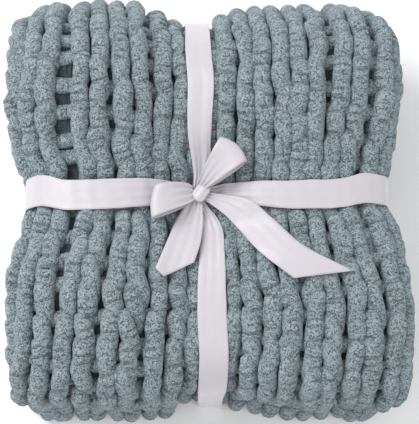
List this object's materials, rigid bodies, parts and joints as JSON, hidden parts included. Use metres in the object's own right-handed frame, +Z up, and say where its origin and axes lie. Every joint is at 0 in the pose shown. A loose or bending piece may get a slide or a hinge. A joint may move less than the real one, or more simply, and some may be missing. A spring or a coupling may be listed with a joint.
{
  "type": "chunky knit blanket",
  "caption": "Chunky knit throw blanket in chenille yarn, folded into a thick square bundle and tied both ways with a satin ribbon that ends in a bow with two free tails.",
  "frame": {"origin": "on the surface that the bundle rests on, under the middle of its bounding box", "axes": "+Z up out of the bundle's top, +Y to the back where the big fold is, +X to the right, where the knit's selvedges are"},
  "size_m": [0.3988, 0.4079, 0.1872],
  "materials": {
    "chenille_yarn": "matt grey-blue chenille pile",
    "satin_ribbon": "white satin with a faint lilac cast"
  },
  "bodies": {
    "root": {"blanket": "chenille_yarn", "ribbon": "satin_ribbon"}
  },
  "joints": []
}
